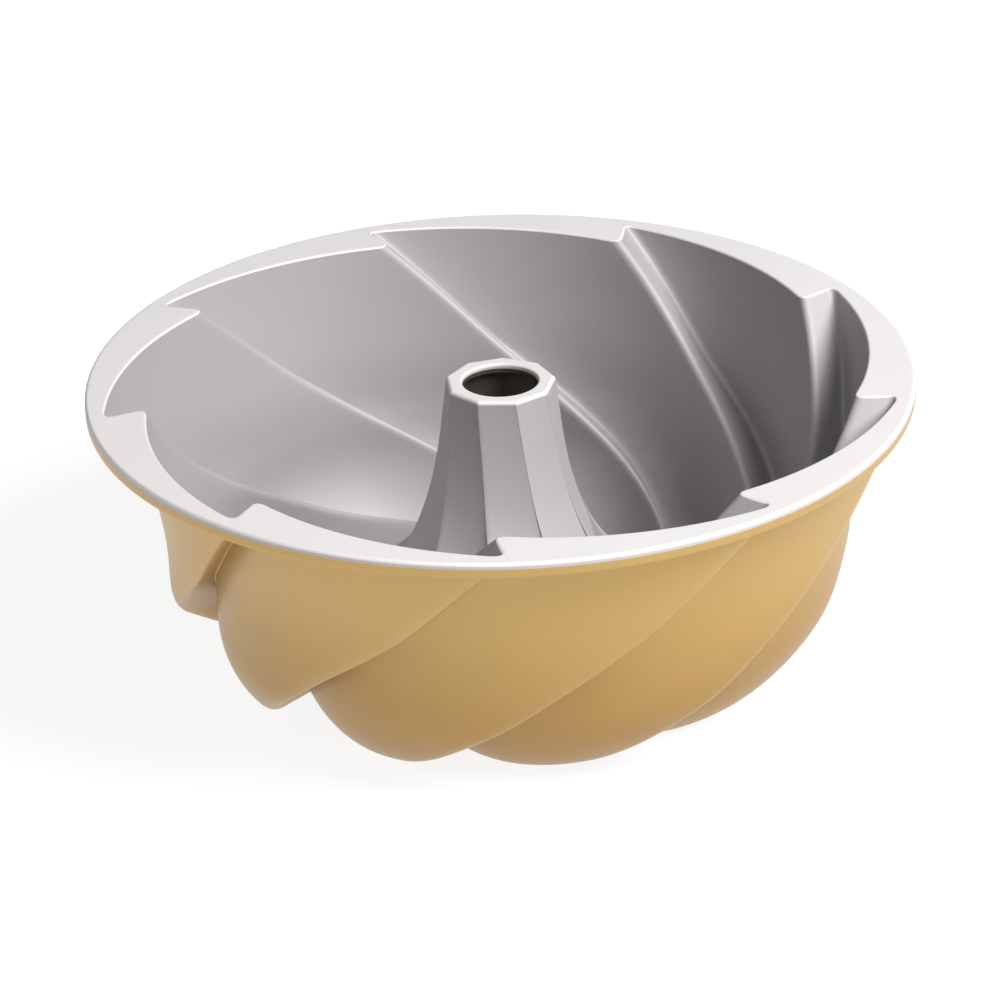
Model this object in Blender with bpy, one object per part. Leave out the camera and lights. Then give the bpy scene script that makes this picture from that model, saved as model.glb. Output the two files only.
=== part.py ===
"""Cast swirl bundt pan, 260 mm across the rim and 99 mm high.

Nine flutes run clockwise, seen from above, from the flat rim down the wall, across the rounded base
and up the hollow centre tube. The pan is one aluminium casting with a gold finish outside and a
non-stick lining inside. Casting and lining are each built as four zones: rim, wall, base and tube.

Units are metres and degrees, +Z is up, and the origin is on the axis at the foot of the pan.
"""

import bpy
import numpy as np

MM = 0.001

# Driving dimensions
FLUTES = 9
RIM_RADIUS = 130.0 * MM
RIM_HEIGHT = 99.0 * MM
RIM_THICKNESS = 5.0 * MM
LIP_ROUNDING = 0.8 * MM
TUBE_HEIGHT = 98.0 * MM
TUBE_TOP_THICKNESS = 3.0 * MM
BORE_RADIUS = 12.0 * MM
LINING_THICKNESS = 0.5 * MM
WALL_THICKNESS = 2.2 * MM
GAP = 0.3 * MM
FOOT_DEPTH = 1.6 * MM

# Where a flute's valley stands on the rim, and how far past it the ridge's tip hooks
FIRST_VALLEY = 110.0
HOOK = 1.5
HOOK_DEPTH = 7.0 * MM
PITCH = 360.0 / FLUTES

# The flute's two guide curves, from the rim, over the base, to the top of the tube. Each station is
# the ridge's radius and height, the valley's radius and height, the clockwise turn in degrees, and
# how far the flute bellies out between valley and ridge; lengths are in millimetres.
STATIONS = np.array(
    [
        (111.2, 99.0, 125.2, 99.0, 0.0, 0.0),
        (102.3, 72.9, 114.5, 68.6, 14.4, 0.2),
        (97.4, 60.0, 110.3, 55.0, 22.8, 0.4),
        (92.3, 47.1, 106.4, 41.6, 32.9, 1.2),
        (86.1, 34.8, 99.4, 25.5, 45.2, 3.0),
        (75.7, 25.8, 83.6, 10.4, 58.9, 6.0),
        (62.1, 23.2, 62.5, 4.2, 74.4, 8.5),
        (48.9, 27.0, 44.0, 10.6, 82.7, 7.5),
        (38.1, 35.4, 32.5, 27.2, 86.5, 3.2),
        (29.4, 46.5, 27.8, 44.8, 90.2, 1.9),
        (23.9, 59.5, 23.4, 59.3, 94.0, 1.4),
        (20.7, 72.9, 20.5, 72.9, 97.4, 1.2),
        (18.8, 86.6, 18.6, 86.6, 101.4, 1.1),
        (17.5, 98.0, 17.3, 98.0, 105.0, 1.0),
    ]
) * (MM, MM, MM, MM, 1.0, MM)

# Zone borders, as places along the stations, the usual distance between stations, and the mesh rows
# in each zone
STATION_SPACING = 13.0 * MM
RIM_END = 0.0
WALL_END = 4.2
BASE_END = 8.0
TUBE_END = len(STATIONS) - 1.0
TUBE_TURN = STATIONS[-1, 4]
WALL_ROWS = 5
BASE_ROWS = 7
TUBE_ROWS = 5

# The flute's section is four pieces: 0-1 flank, 1-2 rounded ridge, 2-3 riser, 3-4 rounded valley
SECTION_STEPS = np.array([0.0, 0.35, 0.7, 1.0, 1.5, 2.0, 3.0, 3.5])
RIDGE_ROUNDING = 3.4 * MM
VALLEY_ROUNDING = 2.8 * MM
LEAST_ROUNDING = 0.6 * MM
MOST_FLANK_ROUNDING = 0.14
MOST_RISER_ROUNDING = 0.42

GOLD = (0.60, 0.41, 0.16)
SILVER = (0.44, 0.43, 0.42)
RIM_SILVER = (0.74, 0.73, 0.71)


def guides(place):
    """Smooth (Catmull-Rom) values of the stations at each place, one column for each value."""
    place = np.clip(place, 0.0, TUBE_END)
    first = np.minimum(place.astype(int), len(STATIONS) - 2)
    t = (place - first)[..., None]
    ends = (2 * STATIONS[0] - STATIONS[1], 2 * STATIONS[-1] - STATIONS[-2])
    rows = np.vstack([ends[0], STATIONS, ends[1]])
    a, b, c, d = (rows[first + k] for k in range(4))
    return 0.5 * (2 * b + (c - a) * t + (2 * a - 5 * b + 4 * c - d) * t**2 + (3 * b - a - 3 * c + d) * t**3)


def hook_at(depth):
    """How far the ridge's tip hooks, in degrees: less and less where the flutes are shallow."""
    return HOOK * np.minimum(depth / HOOK_DEPTH, 1.0)


def flute_angles(place):
    """Slopes of the flank and the riser in radians, square to the flute, and the cosine of its slant."""
    small = 1e-3
    low, high = guides(np.maximum(place - small, 0.0)), guides(np.minimum(place + small, TUBE_END))
    change = high - low
    ridge_r, ridge_z, valley_r, valley_z = np.moveaxis(guides(place)[..., :4], -1, 0)
    depth = np.hypot(valley_r - ridge_r, valley_z - ridge_z)
    slant = np.arctan2(ridge_r * np.radians(change[..., 4]), np.hypot(change[..., 0], change[..., 1]))
    across = np.cos(slant) * ridge_r
    hook = hook_at(depth)
    flank = np.arctan2(depth, across * np.radians(PITCH + hook))
    riser = np.arctan2(across * np.radians(hook), depth)
    return flank, riser, np.cos(slant)


def section(step, hook, flank_cut, riser_cut):
    """Angle, depth and belly weight round one flute; depth is 0 on the ridge and 1 in the valley."""
    ridge = np.stack([PITCH + hook, 0 * hook, 0 * hook], -1)
    next_valley = np.array([PITCH, 1.0, 0.0])
    next_flute = np.array([PITCH, 0.0, 0.0])

    def on_flank(u):
        return np.stack([u * ridge[..., 0], 1.0 - u, 4 * u * (1 - u)], -1)

    def on_riser(u):
        return ridge + u[..., None] * (next_valley - ridge)

    def rounded(start, corner, end, t):
        t = t[..., None]
        return (1 - t) ** 2 * start + 2 * t * (1 - t) * corner + t**2 * end

    (ridge_flank, valley_flank), (ridge_riser, valley_riser) = flank_cut, riser_cut
    pieces = [
        on_flank(valley_flank + step * (1 - ridge_flank - valley_flank)),
        rounded(on_flank(1 - ridge_flank), ridge, on_riser(ridge_riser), step - 1),
        on_riser(ridge_riser + (step - 2) * (1 - ridge_riser - valley_riser)),
        rounded(on_riser(1 - valley_riser), next_valley, on_flank(valley_flank) + next_flute, step - 3),
    ]
    return np.choose(step.astype(int)[..., None], pieces)


def layer(place, step, cover):
    """Points at places along the guides and steps round the flutes, a cover below the lined surface.

    Flank and riser are nearly straight, so a deeper layer is the same saw-tooth moved along the
    mitre between the two, with a tighter ridge and a rounder valley.
    """
    flute, step = np.divmod(step, 4)
    ridge_r, ridge_z, valley_r, valley_z, turn, belly = np.moveaxis(guides(place), -1, 0)
    depth = np.hypot(valley_r - ridge_r, valley_z - ridge_z)
    flank, riser, straightness = flute_angles(place)

    mitre = cover / (1 - np.sin(flank + riser))
    outward = mitre * (np.cos(flank) - np.sin(riser))
    hook = hook_at(depth)
    sideways = hook / HOOK * mitre * (np.cos(riser) - np.sin(flank)) / straightness

    half_corner = np.tan(np.pi / 4 - (flank + riser) / 2)
    cuts = [
        np.maximum(RIDGE_ROUNDING - cover / half_corner, LEAST_ROUNDING),
        VALLEY_ROUNDING + cover / half_corner,
    ]
    flank_length = np.radians(PITCH) * ridge_r * straightness
    flank_cut = [np.minimum(cut / flank_length, MOST_FLANK_ROUNDING) for cut in cuts]
    riser_cut = [np.minimum(cut / depth, MOST_RISER_ROUNDING) for cut in cuts]

    angle, deep, bulge = np.moveaxis(section(step, hook, flank_cut, riser_cut), -1, 0)
    deep = deep + (bulge * belly + outward) / depth
    radius = ridge_r + deep * (valley_r - ridge_r)
    height = ridge_z + deep * (valley_z - ridge_z)
    bearing = np.radians(FIRST_VALLEY - PITCH * flute - angle - turn) + sideways / ridge_r
    return np.stack([radius * np.cos(bearing), radius * np.sin(bearing), height], -1)


def fluted_rows(places, cover):
    """Closed rows of a layer's points, one row for each place."""
    steps = (4 * np.arange(FLUTES)[:, None] + SECTION_STEPS).ravel()
    place, step = np.meshgrid(places, steps, indexing="ij")
    return layer(place, step, cover)


def at_height(row, height):
    """The row moved up or down into one flat plane."""
    return np.column_stack([row[:, :2], np.full(len(row), height)])


def circle(radius, height, turn=0.0):
    """A round row with as many points as a fluted row, turned to stand beside it."""
    count = FLUTES * len(SECTION_STEPS)
    bearing = np.radians(FIRST_VALLEY - turn - 360.0 * np.arange(count) / count)
    return at_height(radius * np.column_stack([np.cos(bearing), np.sin(bearing)]), height)


def place_of_height(height):
    """The place near the rim where ridge and valley pass a height, halfway between the two."""
    places = np.linspace(0.0, 1.0, 401)
    values = guides(places)
    return np.interp(-height, -0.5 * (values[:, 1] + values[:, 3]), places)


def finish(name, color, roughness):
    """A metallic Principled material."""
    material = bpy.data.materials.new(name)
    material.use_nodes = True
    shader = material.node_tree.nodes["Principled BSDF"]
    shader.inputs["Base Color"].default_value = (*color, 1.0)
    shader.inputs["Metallic"].default_value = 0.9
    shader.inputs["Roughness"].default_value = roughness
    material.diffuse_color = (*color, 1.0)
    return material


def ring_solid(name, rows, material, collection):
    """One closed ring lofted through the rows in turn and back to the first.

    Each four-sided patch is split along its shorter diagonal, which lies along the flute.
    """
    count = len(rows[0])
    points = np.concatenate(rows)
    row, column = np.meshgrid(np.arange(len(rows)), np.arange(count), indexing="ij")
    row, column = row.ravel(), column.ravel()
    next_row, next_column = (row + 1) % len(rows), (column + 1) % count
    a, b = row * count + column, row * count + next_column
    c, d = next_row * count + next_column, next_row * count + column
    long_ac = np.linalg.norm(points[a] - points[c], axis=1) > np.linalg.norm(points[b] - points[d], axis=1)
    first = np.where(long_ac, [a, b, d], [a, b, c])
    second = np.where(long_ac, [b, c, d], [a, c, d])
    faces = np.concatenate([first.T, second.T])
    if np.linalg.det(points[faces]).sum() < 0:
        faces = faces[:, ::-1]
    mesh = bpy.data.meshes.new(name)
    mesh.from_pydata(points.tolist(), [], faces.tolist())
    mesh.shade_smooth()
    mesh.set_sharp_from_angle(angle=np.radians(40.0))
    mesh.materials.append(material)
    solid = bpy.data.objects.new(name, mesh)
    collection.objects.link(solid)
    return solid


def shell_rows(places, near, far, levels=(), foot=None):
    """Rows of a shell between two covers: down its near side and back up its far side.

    The first rows are made flat at the levels given. What comes nearer to the ground than the foot's
    depth is flattened onto it.
    """
    near_rows = list(fluted_rows(places, near))
    far_rows = list(fluted_rows(places, far))
    for rows in (near_rows, far_rows):
        for index, level in enumerate(levels):
            rows[index] = at_height(rows[index], level)
    if foot is not None:
        for row in far_rows:
            row[row[:, 2] < foot, 2] = 0.0
    return near_rows + far_rows[::-1]


def zone(start, end, rows):
    """Places along a zone, held back at both ends so that neighbours keep a gap."""
    holdback = GAP / (2 * STATION_SPACING)
    return np.linspace(start + holdback, end - holdback, rows + 1)


def rim_plate(name, top, bottom, depth, outer, material, collection):
    """A flat ring between the flutes' outline and a round outer edge."""
    inner = [at_height(fluted_rows(np.array([place_of_height(z)]), depth)[0], z) for z in (top, bottom)]
    return ring_solid(name, [inner[0], inner[1], *outer], material, collection)


def tube_rows(near, far, top, cap_underside):
    """Rows of the tube's shell, whose flat top reaches in to the round bore."""
    rows = shell_rows(zone(BASE_END, TUBE_END, TUBE_ROWS), near, far)
    outside, inside = rows[: TUBE_ROWS + 1], rows[TUBE_ROWS + 1 :]
    outside[-1] = at_height(outside[-1], top)
    inside[0] = at_height(inside[0], cap_underside)
    bore = [circle(BORE_RADIUS, height, TUBE_TURN) for height in (top, cap_underside)]
    return outside + bore + inside


def casting(collection, gold):
    """The cast aluminium body, gold on its outer side."""
    near = LINING_THICKNESS + GAP
    top = RIM_HEIGHT - near
    bottom = RIM_HEIGHT - RIM_THICKNESS
    edge = [
        circle(RIM_RADIUS - LIP_ROUNDING, bottom),
        circle(RIM_RADIUS, bottom + LIP_ROUNDING),
        circle(RIM_RADIUS, top),
    ]
    rim_plate("rim_flange", top, bottom, near, edge, gold, collection)

    wall_top = bottom - GAP
    wall = [place_of_height(wall_top), *zone(RIM_END, WALL_END, WALL_ROWS)[1:]]
    ring_solid("fluted_wall", shell_rows(wall, near, WALL_THICKNESS, [wall_top]), gold, collection)

    base = zone(WALL_END, BASE_END, BASE_ROWS)
    ring_solid("fluted_base", shell_rows(base, near, WALL_THICKNESS, foot=FOOT_DEPTH), gold, collection)

    tube = tube_rows(near, WALL_THICKNESS, TUBE_HEIGHT - near, TUBE_HEIGHT - TUBE_TOP_THICKNESS)
    ring_solid("centre_tube", tube, gold, collection)


def lining(collection, silver, rim_silver):
    """The non-stick lining, which covers the rim, the inside and the tube's top."""
    top = RIM_HEIGHT
    bottom = RIM_HEIGHT - LINING_THICKNESS
    edge = [circle(RIM_RADIUS, bottom), circle(RIM_RADIUS - LINING_THICKNESS, top)]
    rim_plate("rim_lining", top, bottom, 0.0, edge, rim_silver, collection)

    levels = [bottom - GAP, RIM_HEIGHT - RIM_THICKNESS - GAP]
    wall = [*map(place_of_height, levels), *zone(RIM_END, WALL_END, WALL_ROWS)[1:]]
    ring_solid("wall_lining", shell_rows(wall, 0.0, LINING_THICKNESS, levels), silver, collection)
    base = zone(WALL_END, BASE_END, BASE_ROWS)
    ring_solid("base_lining", shell_rows(base, 0.0, LINING_THICKNESS), silver, collection)

    tube = tube_rows(0.0, LINING_THICKNESS, TUBE_HEIGHT, TUBE_HEIGHT - LINING_THICKNESS)
    ring_solid("tube_lining", tube, silver, collection)


def main():
    for old in list(bpy.data.objects):
        bpy.data.objects.remove(old, do_unlink=True)
    collection = bpy.data.collections.new("bundt_pan")
    bpy.context.scene.collection.children.link(collection)
    casting(collection, finish("gold_finish", GOLD, 0.38))
    lining(collection, finish("silver_lining", SILVER, 0.42), finish("pale_rim", RIM_SILVER, 0.4))


main()
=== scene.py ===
"""Swirl bundt pan: its casting, its coatings and a plain studio stage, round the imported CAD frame.

The pan is one aluminium casting, gold outside, with a grey non-stick coating inside and on the rim.
Nine flutes run clockwise from the rim down the wall, across the rounded base and up the hollow
centre tube. Every surface is the same saw-tooth section swept along a ridge curve and a valley
curve, at its own depth below the coated side.
"""

import bpy
import numpy as np
from bpy.props import FloatProperty, FloatVectorProperty, IntProperty, PointerProperty
from mathutils import Matrix, Vector


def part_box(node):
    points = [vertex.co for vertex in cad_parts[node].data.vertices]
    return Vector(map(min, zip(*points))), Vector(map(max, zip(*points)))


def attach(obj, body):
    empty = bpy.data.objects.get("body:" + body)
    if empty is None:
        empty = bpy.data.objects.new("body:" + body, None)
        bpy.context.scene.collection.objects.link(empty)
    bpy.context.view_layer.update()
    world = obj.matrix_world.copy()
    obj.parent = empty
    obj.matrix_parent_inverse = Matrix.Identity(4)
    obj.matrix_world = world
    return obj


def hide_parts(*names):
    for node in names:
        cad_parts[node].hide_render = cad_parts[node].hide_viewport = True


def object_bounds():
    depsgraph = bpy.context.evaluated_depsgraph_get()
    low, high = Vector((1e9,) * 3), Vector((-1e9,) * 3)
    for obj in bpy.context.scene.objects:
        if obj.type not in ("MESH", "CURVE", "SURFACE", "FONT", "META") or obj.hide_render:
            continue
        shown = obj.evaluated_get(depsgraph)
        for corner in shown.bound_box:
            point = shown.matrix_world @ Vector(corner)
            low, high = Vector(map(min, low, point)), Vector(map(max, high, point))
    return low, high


bl_info = {
    "name": "Swirl Bundt Pan",
    "version": (1, 0, 0),
    "blender": (4, 5, 0),
    "location": "View3D > Sidebar > Bundt Pan",
    "description": "Builds a swirl bundt pan with its coatings and studio stage",
    "category": "Object",
}

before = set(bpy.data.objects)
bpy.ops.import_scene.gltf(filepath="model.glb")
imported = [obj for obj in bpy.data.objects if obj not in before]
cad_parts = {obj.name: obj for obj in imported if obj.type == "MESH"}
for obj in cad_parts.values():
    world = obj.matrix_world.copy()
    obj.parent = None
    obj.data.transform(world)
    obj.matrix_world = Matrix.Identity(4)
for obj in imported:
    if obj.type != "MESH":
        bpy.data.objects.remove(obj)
CAD_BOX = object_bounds()

MM = 0.001
BODY = "root"

# Sizes read from the frame
RIM_RADIUS = CAD_BOX[1].x
RIM_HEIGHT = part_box("rim_lining")[1].z
FLANGE_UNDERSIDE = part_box("rim_flange")[0].z
TUBE_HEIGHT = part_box("tube_lining")[1].z

# The swirl: nine saw-tooth flutes, each with a long flank and a short riser
FLUTES = 9
PITCH = 360.0 / FLUTES
FIRST_VALLEY = 110.0
HOOK = 1.5
HOOK_DEPTH = 7.0 * MM

# The flute's two guide curves, from the rim, over the base, to the top of the tube. Each station is
# the ridge's radius and height, the valley's radius and height, the clockwise turn in degrees, and
# how far the flute bellies out between valley and ridge; lengths are in millimetres.
STATIONS = np.array(
    [
        (111.2, 99.0, 125.2, 99.0, 0.0, 0.0),
        (102.3, 72.9, 114.5, 68.6, 14.4, 0.2),
        (97.4, 60.0, 110.3, 55.0, 22.8, 0.4),
        (92.3, 47.1, 106.4, 41.6, 32.9, 1.2),
        (86.1, 34.8, 99.4, 25.5, 45.2, 3.0),
        (75.7, 25.8, 83.6, 10.4, 58.9, 6.0),
        (62.1, 23.2, 62.5, 4.2, 74.4, 8.5),
        (48.9, 27.0, 44.0, 10.6, 82.7, 7.5),
        (38.1, 35.4, 32.5, 27.2, 86.5, 3.2),
        (29.4, 46.5, 27.8, 44.8, 90.2, 1.9),
        (23.9, 59.5, 23.4, 59.3, 94.0, 1.4),
        (20.7, 72.9, 20.5, 72.9, 97.4, 1.2),
        (18.8, 86.6, 18.6, 86.6, 101.4, 1.1),
        (17.5, 98.0, 17.3, 98.0, 105.0, 1.0),
    ]
) * (MM, MM, MM, MM, 1.0, MM)
TUBE_TURN = STATIONS[-1, 4]

# Where the zones end, as places along the stations, and where a search for the tube's top starts
WALL_END = 4.2
BASE_END = 8.0
TOP_PLACE = len(STATIONS) - 1.0
NEAR_TOP = TOP_PLACE - 0.1

# The section's four pieces: 0-1 flank, 1-2 rounded ridge, 2-3 riser, 3-4 rounded valley. A rounding
# is how far it cuts into its flank and riser, and the last two are shares of those.
RIDGE_ROUNDING = 3.4 * MM
VALLEY_ROUNDING = 2.8 * MM
LEAST_ROUNDING = 0.6 * MM
MOST_FLANK_ROUNDING = 0.14
MOST_RISER_ROUNDING = 0.42

# Share of a flute's pitch that a round row has used at the ends of the section's four pieces
ROUND_SHARES = [0.02, 0.955, 0.975, 0.995, 1.02]

# Steps of the section between which the rim's inner edge widens, and then narrows, round the riser
RISER_STEPS = [1.4, 2.3, 2.9, 3.4]

# Steps round a rounded edge, and the share of a flat band that its holding rows take at each border
EDGE_STEPS = 5
HOLD = 0.06

# Least width of the flange's underside outside the fillet, and rounding where a lobe meets the table
LEDGE = 0.2 * MM
GROUND_ROUNDING = 0.4 * MM

# Rounds of the search for a height, and the angle from which a mesh edge is shaded sharp
SEARCH_ROUNDS = 12
SHARP_ANGLE = np.radians(35.0)

# Inside the tube the casting is painted near-black, a painted shade for the deep bore, and the gold fades in
# between the two radii. The gold is painted darker towards the foot, a painted shade, between the two
# heights.
BORE_SHADE = (0.07, 0.062, 0.05)
BORE_SHADE_RADII = (23.0 * MM, 33.0 * MM)
FOOT_SHADE_HEIGHTS = (5.0 * MM, 75.0 * MM)

# The silver coating has painted light that makes it paler on the tube, fading to plain between the two radii.
# The pale coating is the silver one with painted light on the flat tops; it turns to the silver, lifted, as a
# painted shade line between the two depths below a flat top, which is the tube's within the last two radii
# and the rim's beyond them.
TUBE_LIGHT_RADII = (30.0 * MM, 62.0 * MM)
TUBE_PAINTED_LIGHT = 1.12
LIP_DEPTHS = (1.3 * MM, 0.7 * MM)
LIP_LIFT = 1.25
BETWEEN_TOPS = (50.0 * MM, 60.0 * MM)

# Stage: paper round the pan, dim room light, and each softbox's place, width and power
FLOOR_RADIUS = 6.0
FLOOR_POINTS = 96
PAPER = (0.15, 0.17)
PAPER_GLOW = 0.88
ROOM_LIGHT = 0.12
SOFTBOXES = {
    "key": ((1.3, -0.75, 1.55), 1.0, 76.0),
    "fill": ((-1.1, -1.3, 1.4), 0.7, 7.5),
}


class PanSizes(bpy.types.PropertyGroup):
    """Thicknesses and edge radii of the pan."""

    wall: FloatProperty(
        name="Wall", description="Thickness from lined side to outside", default=2.2 * MM, unit="LENGTH"
    )
    coating: FloatProperty(
        name="Coating", description="Thickness of the non-stick coating", default=0.5 * MM, unit="LENGTH"
    )
    bore: FloatProperty(
        name="Bore", description="Radius of the hole in the tube's top", default=12.0 * MM, unit="LENGTH"
    )
    tube_top: FloatProperty(
        name="Tube Top", description="Thickness of the tube's flat top", default=3.0 * MM, unit="LENGTH"
    )
    rim_edge: FloatProperty(
        name="Rim Edge", description="Rounding where the rim meets a flank", default=0.7 * MM, unit="LENGTH"
    )
    tube_edge: FloatProperty(
        name="Tube Edge", description="Rounding round the tube's flat top", default=1.2 * MM, unit="LENGTH"
    )
    bore_wrap: FloatProperty(
        name="Bore Wrap",
        description="How far the coating runs down the bore",
        default=1.6 * MM,
        unit="LENGTH",
    )
    riser_edge: FloatProperty(
        name="Riser Edge", description="Rounding where the rim meets a riser", default=1.5 * MM, unit="LENGTH"
    )
    lip_edge: FloatProperty(
        name="Lip Edge", description="Rounding of the rim's outer edge", default=1.0 * MM, unit="LENGTH"
    )
    lip_wrap: FloatProperty(
        name="Lip Wrap", description="How far the coating runs down the lip", default=2.0 * MM, unit="LENGTH"
    )
    fillet: FloatProperty(
        name="Fillet", description="Fillet between the flange and the wall", default=2.2 * MM, unit="LENGTH"
    )
    flute_steps: IntProperty(
        name="Flute Steps", description="Columns in a flank; a riser has half as many", default=16, min=4
    )
    station_rows: IntProperty(
        name="Station Rows", description="Rows between two stations", default=12, min=2
    )


class PanColours(bpy.types.PropertyGroup):
    """Colours of the pan's finishes."""

    gold: FloatVectorProperty(
        name="Gold",
        description="Outside finish below the rim",
        default=(0.54, 0.35, 0.113),
        subtype="COLOR",
    )
    # Painted shade: the gold made darker and more orange near the foot.
    foot_shade_gold: FloatVectorProperty(
        name="Deep Gold",
        description="Outside finish near the foot",
        default=(0.35, 0.19, 0.04),
        subtype="COLOR",
    )
    silver: FloatVectorProperty(
        name="Silver", description="Non-stick coating", default=(0.388, 0.370, 0.367), subtype="COLOR"
    )
    # Painted light: the silver coating made paler where the flat rim and tube top face the lamps.
    pale: FloatVectorProperty(
        name="Pale",
        description="Coating on the flat rim and tube top",
        default=(0.722, 0.703, 0.696),
        subtype="COLOR",
    )


class StageSettings(bpy.types.PropertyGroup):
    """Camera and light of the studio stage."""

    distance: FloatProperty(
        name="Distance", description="Camera to the middle of the rim", default=1.712, unit="LENGTH"
    )
    elevation: FloatProperty(
        name="Elevation", description="Camera above the rim, in degrees", default=24.81
    )
    roll: FloatProperty(name="Roll", description="Camera roll in degrees", default=-1.64)
    aim_drop: FloatProperty(
        name="Aim Drop", description="Degrees that the camera aims below the rim's middle", default=1.29
    )
    lens: FloatProperty(name="Lens", description="Focal length in millimetres", default=196.7)


# ---------------------------------------------------------------- the swirl


def guides(place):
    """Catmull-Rom curve through the stations at each place: the usual cubic in t of four neighbours."""
    place = np.clip(place, 0.0, TOP_PLACE)
    first = np.minimum(place.astype(int), len(STATIONS) - 2)
    t = (place - first)[..., None]
    ends = (2 * STATIONS[0] - STATIONS[1], 2 * STATIONS[-1] - STATIONS[-2])
    rows = np.vstack([ends[0], STATIONS, ends[1]])
    a, b, c, d = (rows[first + k] for k in range(4))
    return 0.5 * (2 * b + (c - a) * t + (2 * a - 5 * b + 4 * c - d) * t**2 + (3 * b - a - 3 * c + d) * t**3)


def hook_at(depth):
    """How far the ridge's tip hooks, in degrees: less and less where the flutes are shallow."""
    return HOOK * np.minimum(depth / HOOK_DEPTH, 1.0)


def flute_angles(place):
    """Slopes of flank and riser square to the flute, and the cosine of the flute's slant.

    The slant is the angle whose tangent is the ridge's sideways travel over its travel along the
    profile. A slope is the angle of the flute's depth over its width, and of its hook over its depth.
    """
    small = 1e-3
    change = guides(np.minimum(place + small, TOP_PLACE)) - guides(np.maximum(place - small, 0.0))
    ridge_r, ridge_z, valley_r, valley_z = np.moveaxis(guides(place)[..., :4], -1, 0)
    depth = np.hypot(valley_r - ridge_r, valley_z - ridge_z)
    slant = np.arctan2(ridge_r * np.radians(change[..., 4]), np.hypot(change[..., 0], change[..., 1]))
    across = np.cos(slant) * ridge_r
    hook = hook_at(depth)
    flank = np.arctan2(depth, across * np.radians(PITCH + hook))
    riser = np.arctan2(across * np.radians(hook), depth)
    return flank, riser, np.cos(slant)


def section(step, hook, flank_cut, riser_cut):
    """Angle, depth and belly weight round one flute; depth is 0 on the ridge and 1 in the valley.

    The flank runs from valley to ridge with a belly of 4u(1 - u), the riser straight back to the next
    valley, and a quadratic curve rounds each corner between the two cuts.
    """
    ridge = np.stack([PITCH + hook, 0 * hook, 0 * hook], -1)
    next_valley = np.array([PITCH, 1.0, 0.0])
    next_flute = np.array([PITCH, 0.0, 0.0])

    def on_flank(u):
        return np.stack([u * ridge[..., 0], 1.0 - u, 4 * u * (1 - u)], -1)

    def on_riser(u):
        return ridge + u[..., None] * (next_valley - ridge)

    def rounded(start, corner, end, t):
        t = t[..., None]
        return (1 - t) ** 2 * start + 2 * t * (1 - t) * corner + t**2 * end

    (ridge_flank, valley_flank), (ridge_riser, valley_riser) = flank_cut, riser_cut
    pieces = [
        on_flank(valley_flank + step * (1 - ridge_flank - valley_flank)),
        rounded(on_flank(1 - ridge_flank), ridge, on_riser(ridge_riser), step - 1),
        on_riser(ridge_riser + (step - 2) * (1 - ridge_riser - valley_riser)),
        rounded(on_riser(1 - valley_riser), next_valley, on_flank(valley_flank) + next_flute, step - 3),
    ]
    return np.choose(step.astype(int)[..., None], pieces)


def layer(place, step, cover):
    """Points at places along the guides and steps round the flutes, a cover below the coated side.

    Flank and riser are nearly straight, so a deeper layer is the same saw-tooth moved along the
    mitre between the two, with a tighter ridge and a rounder valley.
    """
    flute, step = np.divmod(step, 4)
    ridge_r, ridge_z, valley_r, valley_z, turn, belly = np.moveaxis(guides(place), -1, 0)
    depth = np.hypot(valley_r - ridge_r, valley_z - ridge_z)
    flank, riser, straightness = flute_angles(place)

    mitre = cover / (1 - np.sin(flank + riser))
    outward = mitre * (np.cos(flank) - np.sin(riser))
    hook = hook_at(depth)
    sideways = hook / HOOK * mitre * (np.cos(riser) - np.sin(flank)) / straightness

    half_corner = np.tan(np.pi / 4 - (flank + riser) / 2)
    cuts = [
        np.maximum(RIDGE_ROUNDING - cover / half_corner, LEAST_ROUNDING),
        VALLEY_ROUNDING + cover / half_corner,
    ]
    flank_length = np.radians(PITCH) * ridge_r * straightness
    flank_cut = [np.minimum(cut / flank_length, MOST_FLANK_ROUNDING) for cut in cuts]
    riser_cut = [np.minimum(cut / depth, MOST_RISER_ROUNDING) for cut in cuts]

    angle, deep, bulge = np.moveaxis(section(step, hook, flank_cut, riser_cut), -1, 0)
    deep = deep + (bulge * belly + outward) / depth
    radius = ridge_r + deep * (valley_r - ridge_r)
    height = ridge_z + deep * (valley_z - ridge_z)
    bearing = np.radians(FIRST_VALLEY - PITCH * flute - angle - turn) + sideways / ridge_r
    return np.stack([radius * np.cos(bearing), radius * np.sin(bearing), height], -1)


def flute_steps(sizes):
    """Steps round all the flutes: even within each of the four pieces of a flute's section."""
    flank, rounding, riser = sizes.flute_steps, sizes.flute_steps * 3 // 4, sizes.flute_steps // 2
    counts = [flank, rounding, riser, rounding]
    one = np.concatenate([piece + np.arange(count) / count for piece, count in enumerate(counts)])
    return (4 * np.arange(FLUTES)[:, None] + one).ravel()


def swept_rows(steps, places, cover):
    """Rows of a layer, one row for each place, all with the same cover."""
    place, step = np.meshgrid(places, steps, indexing="ij")
    return layer(place, step, np.full(place.shape, cover))


def level_row(steps, height, cover, start=0.0):
    """The line where a layer passes a height: each point slides along the guides until it is there."""
    cover = np.broadcast_to(cover, steps.shape)
    place = np.full(steps.shape, start)
    small = 0.02
    for _ in range(SEARCH_ROUNDS):
        points = layer(place, steps, cover)
        drop = layer(place + small, steps, cover)[:, 2] - layer(place - small, steps, cover)[:, 2]
        reach = np.minimum(place + small, TOP_PLACE) - np.maximum(place - small, 0.0)
        place = np.clip(place + (height - points[:, 2]) * reach / drop, 0.0, TOP_PLACE)
    points = layer(place, steps, cover)
    points[:, 2] = height
    return points, place


def quarter(count):
    """Sine and cosine over a quarter turn, in even steps, both ends included."""
    angle = np.linspace(0.0, np.pi / 2, count + 1)
    return np.sin(angle), np.cos(angle)


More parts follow.
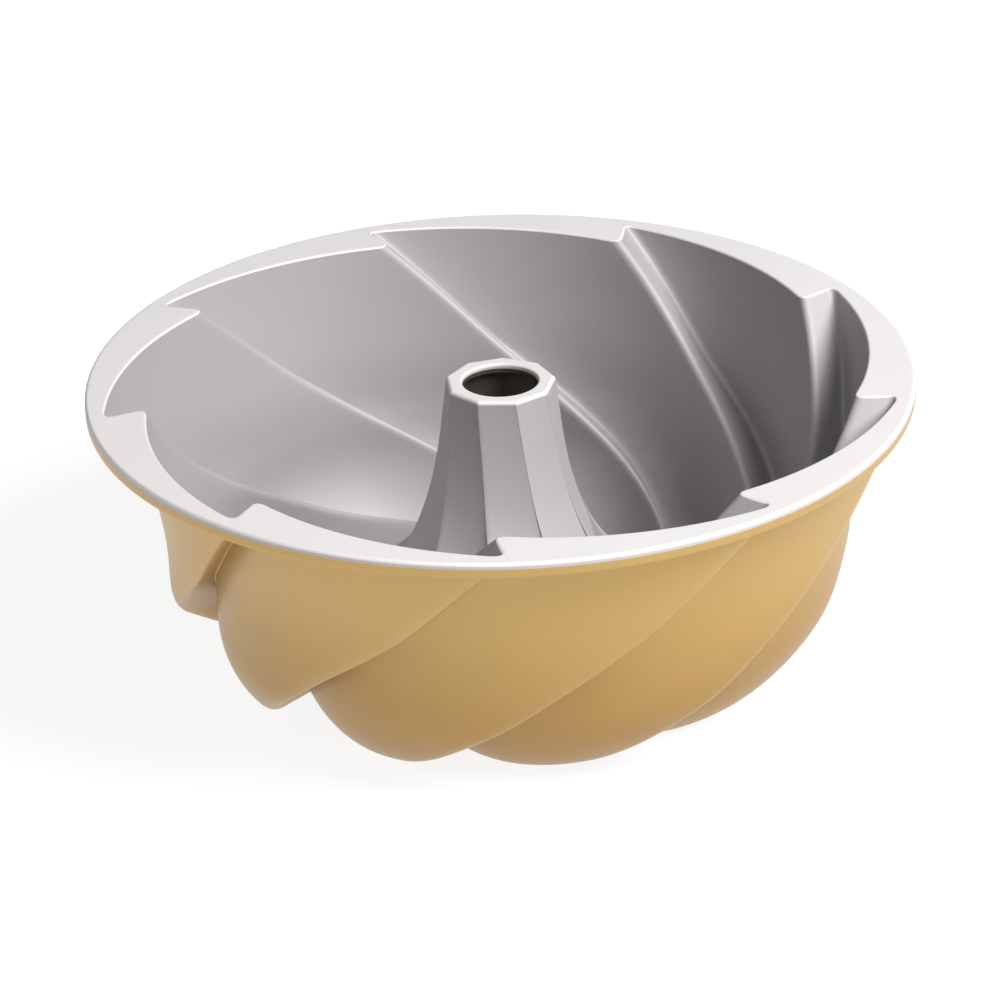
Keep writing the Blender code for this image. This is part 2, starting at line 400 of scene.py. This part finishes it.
def ring(steps, radius, height, turn=0.0):
    """A round row beside a fluted one: the flank takes nearly all of each flute's share of the turn."""
    flute, step = np.divmod(steps, 4)
    share = np.interp(step, range(5), ROUND_SHARES)
    bearing = np.radians(FIRST_VALLEY - turn - PITCH * (flute + share))
    return np.column_stack([radius * np.cos(bearing), radius * np.sin(bearing), np.full(len(steps), height)])


def ring_mesh(name, rows, material):
    """One closed ring lofted through the rows in turn and back to the first.

    Each patch is split along its shorter diagonal, and the ring is turned so that its volume, a sixth
    of the sum of its triangles' determinants, is positive.
    """
    rows = np.stack(rows)
    count = rows.shape[1]
    points = rows.reshape(-1, 3)
    row, column = (index.ravel() for index in np.indices(rows.shape[:2]))
    next_row, next_column = (row + 1) % len(rows), (column + 1) % count
    a, b = row * count + column, row * count + next_column
    c, d = next_row * count + next_column, next_row * count + column
    long_ac = np.linalg.norm(points[a] - points[c], axis=1) > np.linalg.norm(points[b] - points[d], axis=1)
    first = np.where(long_ac, [a, b, d], [a, b, c]).T
    second = np.where(long_ac, [b, c, d], [a, c, d]).T
    faces = np.concatenate([first, second])
    if np.linalg.det(points[faces]).sum() < 0:
        faces = faces[:, ::-1]
    mesh = bpy.data.meshes.new(name)
    mesh.vertices.add(len(points))
    mesh.vertices.foreach_set("co", points.astype(np.float32).ravel())
    mesh.loops.add(faces.size)
    mesh.loops.foreach_set("vertex_index", faces.astype(np.int32).ravel())
    mesh.polygons.add(len(faces))
    mesh.polygons.foreach_set("loop_start", np.arange(0, faces.size, 3, dtype=np.int32))
    mesh.update(calc_edges=True)
    mesh.validate()
    mesh.shade_smooth()
    mesh.set_sharp_from_angle(angle=SHARP_ANGLE)
    mesh.materials.append(material)
    piece = bpy.data.objects.new(name, mesh)
    bpy.context.scene.collection.objects.link(piece)
    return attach(piece, BODY)


def places_between(start, end, sizes):
    """Even places from start to end, both included."""
    return np.linspace(start, end, int(np.ceil((end - start) * sizes.station_rows)) + 1)


# ---------------------------------------------------------------- edges


def rim_edge_size(steps, sizes):
    """Radius of the rim's inner edge: small along the flank, larger along the riser."""
    flank, riser = sizes.rim_edge, sizes.riser_edge
    return np.interp(np.mod(steps, 4), RISER_STEPS, [flank, riser, riser, flank])


def rim_arc(steps, sizes):
    """The rounded edge between the flutes and the flat rim; two level rows give the wall's normal."""
    edge = rim_edge_size(steps, sizes)
    low = level_row(steps, RIM_HEIGHT - 2 * edge, 0.0)[0]
    high = level_row(steps, RIM_HEIGHT - edge / 2, 0.0)[0]
    along = np.roll(high, -1, axis=0) - np.roll(high, 1, axis=0)
    normal = np.cross(along, high - low)
    lean = np.arctan2(normal[:, 2], np.hypot(normal[:, 0], normal[:, 1]))
    return edge_arc(steps, RIM_HEIGHT, edge, normal, lean, 0.0)


def tube_arc(steps, sizes):
    """The rounded edge round the tube's top, where the wall is nearly upright and faces out."""
    edge = np.full(steps.shape, sizes.tube_edge)
    outward = level_row(steps, TUBE_HEIGHT - edge, 0.0, NEAR_TOP)[0]
    return edge_arc(steps, TUBE_HEIGHT, edge, outward, np.zeros(len(steps)), NEAR_TOP)


def edge_arc(steps, top, edge, facing, lean, start):
    """Centres, directions and start row of a rounded edge between a fluted wall and a flat top.

    The lean is the angle above the horizon of the direction that the wall faces. The arc starts on
    the wall, and turns from that direction to straight up.
    """
    foot, place = level_row(steps, top - edge * (1 - np.sin(lean)), 0.0, start)
    across = np.hypot(facing[:, 0], facing[:, 1])
    sideways = np.column_stack([facing[:, :2] / across[:, None], np.zeros(len(steps))])
    centre = foot - edge[:, None] * spoke(sideways, lean)
    return {"centre": centre, "sideways": sideways, "lean": lean, "edge": edge, "foot": foot, "place": place}


def spoke(sideways, angle):
    """The unit direction that stands an angle above the sideways one."""
    return np.cos(angle)[:, None] * sideways + np.sin(angle)[:, None] * np.array([0.0, 0.0, 1.0])


def arc_rows(arc, inset=0.0):
    """Rows of the rounded edge from the wall up onto the top, an inset below its surface."""
    radius = (arc["edge"] - inset)[:, None]
    shares = np.linspace(0.0, 1.0, EDGE_STEPS + 1)
    angles = [arc["lean"] + share * (np.pi / 2 - arc["lean"]) for share in shares]
    return [arc["centre"] + radius * spoke(arc["sideways"], angle) for angle in angles]


def holding_rows(first, last):
    """Two rows just inside a flat band's borders, so that the band between them is shaded flat."""
    return [first + share * (last - first) for share in (HOLD, 1.0 - HOLD)]


def main_rows(steps, places, cover, ends):
    """Rows of a layer between two end rows of places, which need not be level."""
    first, last = ends
    share = (places - places[0]) / (places[-1] - places[0])
    start_shift = (first - places[0]) if first is not None else np.zeros(len(steps))
    end_shift = (last - places[-1]) if last is not None else np.zeros(len(steps))
    fade_in, fade_out = (1 - share) ** 4, share**4
    place = places[:, None] + fade_in[:, None] * start_shift + fade_out[:, None] * end_shift
    step = np.broadcast_to(steps, place.shape)
    return layer(place, step, np.full(place.shape, cover))


# ---------------------------------------------------------------- materials


class Value:
    """A shader socket that takes part in sums: an expression on values adds its Math nodes."""

    def __init__(self, finish, socket):
        self.finish = finish
        self.socket = socket

    def sum(self, operation, first, second):
        return self.finish.node("ShaderNodeMath", {"operation": operation}, {0: first, 1: second})

    def __add__(self, other):
        return self.sum("ADD", self, other)

    def __radd__(self, other):
        return self.sum("ADD", other, self)

    def __sub__(self, other):
        return self.sum("SUBTRACT", self, other)

    def __rsub__(self, other):
        return self.sum("SUBTRACT", other, self)

    def __mul__(self, other):
        return self.sum("MULTIPLY", self, other)

    def __rmul__(self, other):
        return self.sum("MULTIPLY", other, self)


class Finish:
    """A material with one Principled shader, and the nodes that feed it."""

    def __init__(self, name, colour):
        self.material = bpy.data.materials.new(name)
        self.material.use_nodes = True
        self.material.diffuse_color = (*colour, 1.0)
        self.tree = self.material.node_tree
        self.shader = self.tree.nodes["Principled BSDF"]
        coordinates = self.tree.nodes.new("ShaderNodeTexCoord")
        self.place = Value(self, coordinates.outputs["Object"])

    def feed(self, socket, value):
        """Links a value to a socket, or sets the socket to a number, colour or vector."""
        if isinstance(value, Value):
            self.tree.links.new(value.socket, socket)
        else:
            socket.default_value = value

    def node(self, kind, settings, inputs, output=0):
        """Adds a node: its settings first, then its inputs by name or number. Gives one output."""
        node = self.tree.nodes.new(kind)
        for name, value in settings.items():
            setattr(node, name, value)
        for key, value in inputs.items():
            self.feed(node.inputs[key], value)
        return Value(self, node.outputs[output])

    def noise(self, size, detail=2.0):
        """Soft noise from 0 to 1 whose patches are about the given size across."""
        inputs = {"Vector": self.place, "Scale": 1.0 / size, "Detail": detail}
        return self.node("ShaderNodeTexNoise", {}, inputs)

    def height(self):
        """The height above the table."""
        return self.node("ShaderNodeSeparateXYZ", {}, {0: self.place}, "Z")

    def radius(self):
        """The distance from the pan's axis: the length of the place once its height is set to zero."""
        inputs = {0: self.place, 1: (1.0, 1.0, 0.0)}
        flat = self.node("ShaderNodeVectorMath", {"operation": "MULTIPLY"}, inputs)
        return self.node("ShaderNodeVectorMath", {"operation": "LENGTH"}, {0: flat}, "Value")

    def band(self, value, limits):
        """0 below the lower limit, 1 above the upper one, and smooth between."""
        inputs = {"Value": value, "From Min": limits[0], "From Max": limits[1]}
        return self.node("ShaderNodeMapRange", {"interpolation_type": "SMOOTHSTEP"}, inputs)

    def blend(self, share, first, second):
        """Mixes two colours by a share."""
        settings = {"data_type": "RGBA", "blend_type": "MIX"}
        inputs = {"Factor": share, 6: first, 7: second}
        return self.node("ShaderNodeMix", settings, inputs, 2)

    def set(self, **inputs):
        """Sets or links the Principled shader's own sockets, written with _ for a space."""
        for name, value in inputs.items():
            self.feed(self.shader.inputs[name.replace("_", " ")], value)

    def bump(self, height, distance):
        """A Bump node whose height of 1 stands the distance proud."""
        return self.node("ShaderNodeBump", {}, {"Height": height, "Distance": distance})


def shade(colour, factor=1.0):
    """The colour made lighter or darker by a factor, with full alpha."""
    return (*(min(1.0, channel * factor) for channel in colour), 1.0)


def gold_finish(colour, foot_shade_colour):
    """Satin gold paint over the cast metal: fine flake, a faint orange peel and slow drifts of tone.

    Towards the foot the gold is painted darker and more orange, a painted shade, and inside the tube it is
    painted near-black, with less metal and no coat, a painted shade for the deep bore.
    """
    finish = Finish("gold_paint", colour)
    drift = finish.noise(45 * MM, detail=3.0)
    flake = finish.noise(0.35 * MM, detail=1.0)
    tone = drift * 0.6 + flake * 0.4
    # Painted shade: within these radii the gold turns to a near-black, with less metal and no coat, for the
    # deep bore.
    clear_of_bore_shade = finish.band(finish.radius(), BORE_SHADE_RADII)
    # Painted shade: the gold turns darker towards the foot, below the upper height.
    above_foot_shade = finish.band(finish.height(), FOOT_SHADE_HEIGHTS)
    gold_with_foot_shade = finish.blend(tone * 0.15 + above_foot_shade * 0.85, shade(foot_shade_colour), shade(colour))
    finish.set(
        Base_Color=finish.blend(clear_of_bore_shade, shade(BORE_SHADE), gold_with_foot_shade),
        Roughness=0.42 + flake * 0.08 + drift * 0.04,
        Metallic=0.35 + clear_of_bore_shade * 0.35,
        Coat_Weight=clear_of_bore_shade * 0.6,
        Coat_Roughness=0.42,
        Normal=finish.bump(finish.noise(0.9 * MM, detail=2.0), 0.012 * MM),
    )
    return finish.material


def coating_finish(name, colour, edge_shade_colour=None):
    """Satin non-stick coating: a metallic grey with fine sparkle and a faint sprayed texture.

    Without an edge shade colour, it has painted light that makes it a little paler on the tube. With one, its
    own colour is painted light on the flat tops, and it turns to the edge shade colour, a painted shade line,
    where it runs down the lip and into the bore. The tube's top stands lower than the rim, so the heights are
    taken from whichever top is nearer.
    """
    finish = Finish(name, colour)
    drift = finish.noise(30 * MM, detail=3.0)
    sparkle = finish.noise(0.3 * MM, detail=1.0)
    tone = drift * 0.5 + sparkle * 0.5
    body = finish.blend(tone, shade(colour, 0.95), shade(colour, 1.05))
    if edge_shade_colour is None:
        # Painted light: the coating is made lighter near the tube.
        outer = finish.band(finish.radius(), TUBE_LIGHT_RADII)
        body = finish.blend(outer, shade(colour, TUBE_PAINTED_LIGHT), body)
    else:
        # Painted light on the flat tops, turning to a painted shade line down the lip and into the bore.
        step_down = RIM_HEIGHT - TUBE_HEIGHT
        level = finish.height() - finish.band(finish.radius(), BETWEEN_TOPS) * step_down
        flat = finish.band(level, [TUBE_HEIGHT - depth for depth in LIP_DEPTHS])
        body = finish.blend(flat, shade(edge_shade_colour, LIP_LIFT), body)
    finish.set(
        Base_Color=body,
        Roughness=0.58 + sparkle * 0.1,
        Metallic=0.2,
        Normal=finish.bump(finish.noise(0.7 * MM, detail=2.0), 0.01 * MM),
    )
    return finish.material


def named_material(name, maker, *values):
    """The material of that name, made the first time it is asked for."""
    return bpy.data.materials.get(name) or maker(*values)


def gold():
    colours = bpy.context.scene.pan_colours
    return named_material("gold_paint", gold_finish, tuple(colours.gold), tuple(colours.foot_shade_gold))


def silver():
    return named_material(
        "silver_coating", coating_finish, "silver_coating", tuple(bpy.context.scene.pan_colours.silver)
    )


def pale():
    colours = bpy.context.scene.pan_colours
    return named_material(
        "pale_coating", coating_finish, "pale_coating", tuple(colours.pale), tuple(colours.silver)
    )


# ---------------------------------------------------------------- pieces


class BUNDT_OT_rim(bpy.types.Operator):
    """Adds the rim's coating and the gold lip band with its fillet."""

    bl_idname = "bundt.rim"
    bl_label = "Add Rim"

    def execute(self, context):
        sizes = context.scene.pan_sizes
        steps = flute_steps(sizes)
        skin = sizes.coating
        lip = sizes.lip_edge
        flat = RIM_RADIUS - lip
        wrap = RIM_HEIGHT - sizes.lip_wrap
        sines, cosines = quarter(EDGE_STEPS)
        arc = rim_arc(steps, sizes)

        def lip_rows(inset):
            radius = lip - inset
            return [
                ring(steps, flat + radius * sine, RIM_HEIGHT - lip + radius * cosine)
                for sine, cosine in zip(sines, cosines)
            ] + [ring(steps, RIM_RADIUS - inset, wrap)]

        edge, lip_face = arc_rows(arc), lip_rows(0.0)
        face = [*edge, *holding_rows(edge[-1], lip_face[0]), *lip_face]
        back = [*arc_rows(arc, skin), *lip_rows(skin)]
        # The rim's coating takes the pale colour, which is painted light.
        coat = ring_mesh("rim_coating", [*face, *back[::-1]], pale())
        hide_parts("rim_lining")

        bottom = FLANGE_UNDERSIDE
        lower = [
            ring(steps, flat + lip * cosine, bottom + lip * (1 - sine))
            for sine, cosine in zip(sines, cosines)
        ]
        fillet = [
            level_row(steps, bottom - sizes.fillet * (1 - cosine), sizes.wall + sizes.fillet * (1 - sine))[0]
            for sine, cosine in zip(sines, cosines)
        ]
        limit = flat - LEDGE
        for row in fillet:
            reach = np.hypot(row[:, 0], row[:, 1])
            row[:, :2] *= np.minimum(1.0, limit / reach)[:, None]
        inside = level_row(steps, bottom - sizes.fillet, skin)[0]
        band = ring_mesh("lip_band", [ring(steps, RIM_RADIUS, wrap), *lower, *fillet, inside, *back], gold())
        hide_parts("rim_flange")
        return {"FINISHED"}


class BUNDT_OT_wall(bpy.types.Operator):
    """Adds the fluted wall, its coating inside and its gold casting outside."""

    bl_idname = "bundt.wall"
    bl_label = "Add Wall"

    def execute(self, context):
        sizes = context.scene.pan_sizes
        steps = flute_steps(sizes)
        arc = rim_arc(steps, sizes)
        skin = sizes.coating
        places = places_between(0.0, WALL_END, sizes)[1:]

        near_start = arc["place"]
        far_start = level_row(steps, arc["foot"][:, 2], skin)[1]
        near = main_rows(steps, places, 0.0, (near_start, None))
        far = main_rows(steps, places, skin, (far_start, None))
        coat = ring_mesh("wall_coating", [*near, *far[::-1]], silver())
        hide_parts("wall_lining")

        top = FLANGE_UNDERSIDE - sizes.fillet
        near_start = level_row(steps, top, skin)[1]
        far_start = level_row(steps, top, sizes.wall)[1]
        near = main_rows(steps, places, skin, (near_start, None))
        far = main_rows(steps, places, sizes.wall, (far_start, None))
        cast = ring_mesh("wall_casting", [*near, *far[::-1]], gold())
        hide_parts("fluted_wall")
        return {"FINISHED"}


def grounded(rows):
    """The rows with everything below the table ground flat onto it: z becomes (z + hypot(z, r)) / 2."""
    height = rows[..., 2]
    rows[..., 2] = (height + np.hypot(height, GROUND_ROUNDING)) / 2
    return rows


class BUNDT_OT_base(bpy.types.Operator):
    """Adds the rounded base, whose flutes stand on nine small flats."""

    bl_idname = "bundt.base"
    bl_label = "Add Base"

    def execute(self, context):
        sizes = context.scene.pan_sizes
        steps = flute_steps(sizes)
        places = places_between(WALL_END, BASE_END, sizes)
        near = swept_rows(steps, places, 0.0)
        middle = swept_rows(steps, places, sizes.coating)
        far = grounded(swept_rows(steps, places, sizes.wall))
        coat = ring_mesh("base_coating", [*near, *middle[::-1]], silver())
        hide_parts("base_lining")
        cast = ring_mesh("base_casting", [*middle, *far[::-1]], gold())
        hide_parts("fluted_base")
        return {"FINISHED"}


class BUNDT_OT_tube(bpy.types.Operator):
    """Adds the hollow centre tube: faceted coating outside, flat top in the coating with painted light, and
    the casting inside, painted near-black as shade in the bore.
    """

    bl_idname = "bundt.tube"
    bl_label = "Add Centre Tube"

    def execute(self, context):
        sizes = context.scene.pan_sizes
        steps = flute_steps(sizes)
        skin = sizes.coating
        edge = sizes.rim_edge
        places = places_between(BASE_END, TOP_PLACE, sizes)
        sines, cosines = quarter(EDGE_STEPS)

        arc = tube_arc(steps, sizes)
        middle_end = level_row(steps, arc["foot"][:, 2], skin, NEAR_TOP)[1]
        near = main_rows(steps, places, 0.0, (None, arc["place"]))
        middle = main_rows(steps, places, skin, (None, middle_end))
        coat = ring_mesh("tube_coating", [*near, *middle[::-1]], silver())
        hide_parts("tube_lining")

        wrap = TUBE_HEIGHT - sizes.bore_wrap
        centre_r, centre_z = sizes.bore + edge, TUBE_HEIGHT - edge

        def bore_rows(inset):
            radius = edge - inset
            return [
                ring(steps, centre_r - radius * sine, centre_z + radius * cosine, TUBE_TURN)
                for sine, cosine in zip(sines, cosines)
            ] + [ring(steps, sizes.bore + inset, wrap, TUBE_TURN)]

        outer, inner = arc_rows(arc), bore_rows(0.0)
        face = [*outer, *holding_rows(outer[-1], inner[0]), *inner]
        back = [*arc_rows(arc, skin), *bore_rows(skin)]
        # The tube's top takes the pale colour, which is painted light.
        top = ring_mesh("tube_top_coating", [*face, *back[::-1]], pale())

        under = TUBE_HEIGHT - sizes.tube_top
        far_end = level_row(steps, under, sizes.wall, NEAR_TOP)[1]
        far = main_rows(steps, places, sizes.wall, (None, far_end))
        bore = [ring(steps, sizes.bore, height, TUBE_TURN) for height in (wrap, under)]
        cast = ring_mesh("tube_casting", [*middle, *back, *bore, *far[::-1]], gold())
        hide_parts("centre_tube")
        return {"FINISHED"}


# ---------------------------------------------------------------- stage


class BUNDT_OT_stage(bpy.types.Operator):
    """Adds the pale floor, the studio light and the camera."""

    bl_idname = "bundt.stage"
    bl_label = "Add Stage"

    def execute(self, context):
        scene = context.scene
        self.add_floor()
        self.add_world(scene)
        for name, (location, size, power) in SOFTBOXES.items():
            self.add_light(name, location, size, power)
        self.add_camera(scene)
        scene.view_settings.view_transform = "Standard"
        return {"FINISHED"}

    def add_floor(self):
        """A disc in the table's plane, which glows so that it stays nearly white in the shade."""
        bearing = np.linspace(0.0, 2 * np.pi, FLOOR_POINTS + 1)[:-1]
        points = FLOOR_RADIUS * np.column_stack([np.cos(bearing), np.sin(bearing), 0 * bearing])
        mesh = bpy.data.meshes.new("floor")
        mesh.from_pydata(points.tolist(), [], [list(range(FLOOR_POINTS))])
        finish = Finish("floor_paper", (0.9, 0.9, 0.9))
        white = (1.0, 1.0, 1.0)
        paper = finish.blend(finish.noise(40 * MM), *(shade(white, level) for level in PAPER))
        finish.set(
            Base_Color=paper, Roughness=0.9, Emission_Color=shade(white), Emission_Strength=PAPER_GLOW
        )
        mesh.materials.append(finish.material)
        floor = bpy.data.objects.new("floor", mesh)
        bpy.context.scene.collection.objects.link(floor)

    def add_world(self, scene):
        """A dim white room, so that the softboxes leave the pan a darker side."""
        world = bpy.data.worlds.new("studio")
        scene.world = world
        world.use_nodes = True
        background = world.node_tree.nodes["Background"]
        background.inputs["Color"].default_value = (1.0, 1.0, 1.0, 1.0)
        background.inputs["Strength"].default_value = ROOM_LIGHT

    def add_light(self, name, location, size, power):
        """A square softbox that faces the pan."""
        data = bpy.data.lights.new(name, "AREA")
        data.shape = "SQUARE"
        data.size = size
        data.energy = power
        light = bpy.data.objects.new(name, data)
        aim = Vector((0.0, 0.0, RIM_HEIGHT / 2)) - Vector(location)
        light.matrix_world = Matrix.Translation(location) @ aim.to_track_quat("-Z", "Y").to_matrix().to_4x4()
        bpy.context.scene.collection.objects.link(light)

    def add_camera(self, scene):
        """A long lens aimed a little below the rim's middle."""
        stage = scene.pan_stage
        elevation = np.radians(stage.elevation)
        away = Vector((0.0, -np.cos(elevation), np.sin(elevation))) * stage.distance
        turn = (
            Matrix.Rotation(np.pi / 2 - elevation, 4, "X")
            @ Matrix.Rotation(np.radians(stage.roll), 4, "Z")
            @ Matrix.Rotation(-np.radians(stage.aim_drop), 4, "X")
        )
        data = bpy.data.cameras.new("camera")
        data.lens = stage.lens
        data.sensor_width = 36.0
        camera = bpy.data.objects.new("camera", data)
        camera.matrix_world = Matrix.Translation(Vector((0.0, 0.0, RIM_HEIGHT)) + away) @ turn
        scene.collection.objects.link(camera)
        scene.camera = camera


PIECES = (BUNDT_OT_rim, BUNDT_OT_wall, BUNDT_OT_base, BUNDT_OT_tube, BUNDT_OT_stage)


class BUNDT_PT_panel(bpy.types.Panel):
    """Lists the pan's sizes, colours and pieces in the sidebar."""

    bl_idname = "BUNDT_PT_panel"
    bl_label = "Bundt Pan"
    bl_space_type = "VIEW_3D"
    bl_region_type = "UI"
    bl_category = "Bundt Pan"

    def draw(self, context):
        scene = context.scene
        for group in (scene.pan_sizes, scene.pan_colours, scene.pan_stage):
            box = self.layout.box()
            for name in group.__annotations__:
                box.prop(group, name)
        for piece in PIECES:
            self.layout.operator(piece.bl_idname)


GROUPS = {"pan_sizes": PanSizes, "pan_colours": PanColours, "pan_stage": StageSettings}


def register():
    for group in GROUPS.values():
        bpy.utils.register_class(group)
    for name, group in GROUPS.items():
        setattr(bpy.types.Scene, name, PointerProperty(type=group))
    for piece in (*PIECES, BUNDT_PT_panel):
        bpy.utils.register_class(piece)


def unregister():
    for piece in (BUNDT_PT_panel, *reversed(PIECES)):
        bpy.utils.unregister_class(piece)
    for name, group in reversed(GROUPS.items()):
        delattr(bpy.types.Scene, name)
        bpy.utils.unregister_class(group)


def main():
    register()
    bpy.ops.bundt.rim()
    bpy.ops.bundt.wall()
    bpy.ops.bundt.base()
    bpy.ops.bundt.tube()
    bpy.ops.bundt.stage()


if __name__ == "__main__":
    main()
